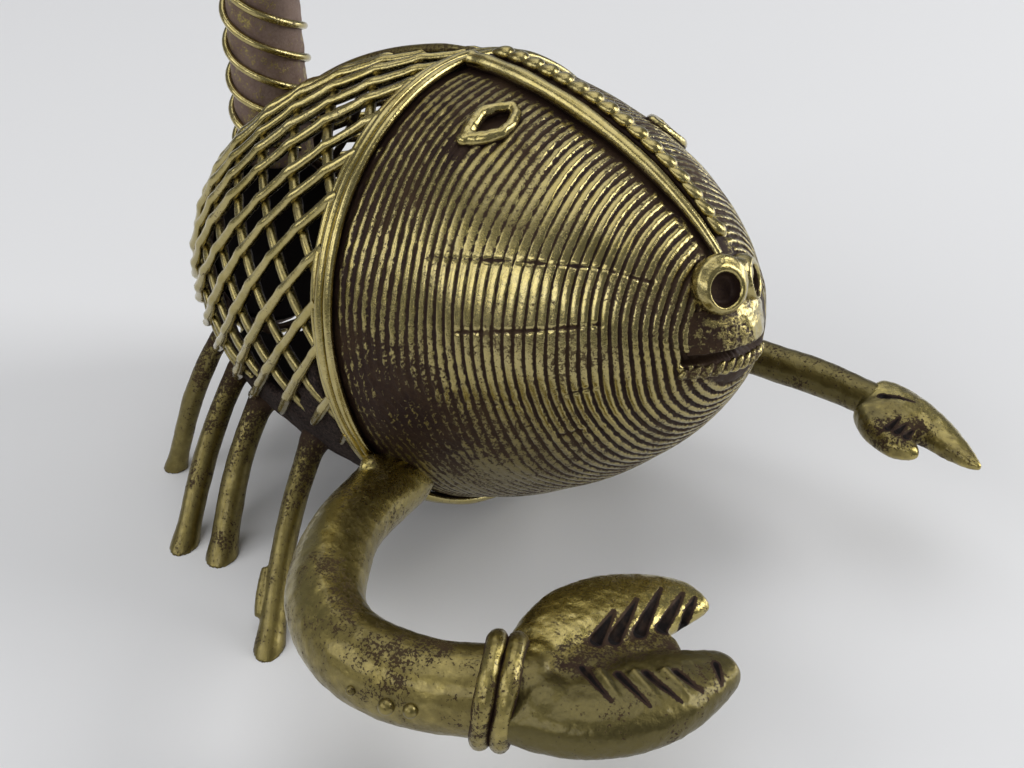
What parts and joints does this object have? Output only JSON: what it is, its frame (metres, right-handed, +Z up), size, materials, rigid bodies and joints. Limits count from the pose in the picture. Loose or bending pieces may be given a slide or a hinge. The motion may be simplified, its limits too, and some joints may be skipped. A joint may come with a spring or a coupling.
{
  "type": "scorpion figurine",
  "caption": "Cast brass scorpion ornament with a ribbed egg head, open wire-net body, rod legs, two pincers and an upright wire-wound tail; stands on flat feet.",
  "frame": {"origin": "on the floor, below the middle of the whole figure's box", "axes": "+Z up, the scorpion faces -Y and its right side is -X"},
  "size_m": [0.0878, 0.0968, 0.1005],
  "materials": {
    "ribbed_brass": "olive brass, polished ribs with dark patina in the grooves",
    "wire_brass": "bright worn brass wire with dark sides",
    "limb_brass": "golden brass with fine casting pits",
    "dark_brass": "purple-brown patina"
  },
  "bodies": {
    "root": {"head_shell": "ribbed_brass", "band_wire_rear": "wire_brass", "band_wire_front": "wire_brass", "net_under": "wire_brass", "net_over": "wire_brass", "belly_plate": "dark_brass", "rear_cap": "dark_brass", "crest_wire_right": "wire_brass", "crest_wire_middle": "wire_brass", "crest_rope": "wire_brass", "crest_wire_left": "wire_brass", "eye_rim_right": "wire_brass", "eye_rim_left": "wire_brass", "nostril_right": "wire_brass", "nostril_left": "wire_brass", "upper_lip": "dark_brass", "lower_lip": "wire_brass", "tail_core": "dark_brass", "tail_wire": "wire_brass", "sting": "limb_brass", "back_ridge": "wire_brass", "leg_right_1": "limb_brass", "leg_left_1": "limb_brass", "leg_right_2": "limb_brass", "leg_left_2": "limb_brass", "leg_right_3": "limb_brass", "leg_left_3": "limb_brass", "leg_right_4": "limb_brass", "leg_left_4": "limb_brass", "arm_right": "limb_brass", "cuff_ring_right_1": "limb_brass", "cuff_ring_right_2": "limb_brass", "claw_right": "limb_brass", "arm_left": "limb_brass", "claw_left": "limb_brass"}
  },
  "joints": []
}
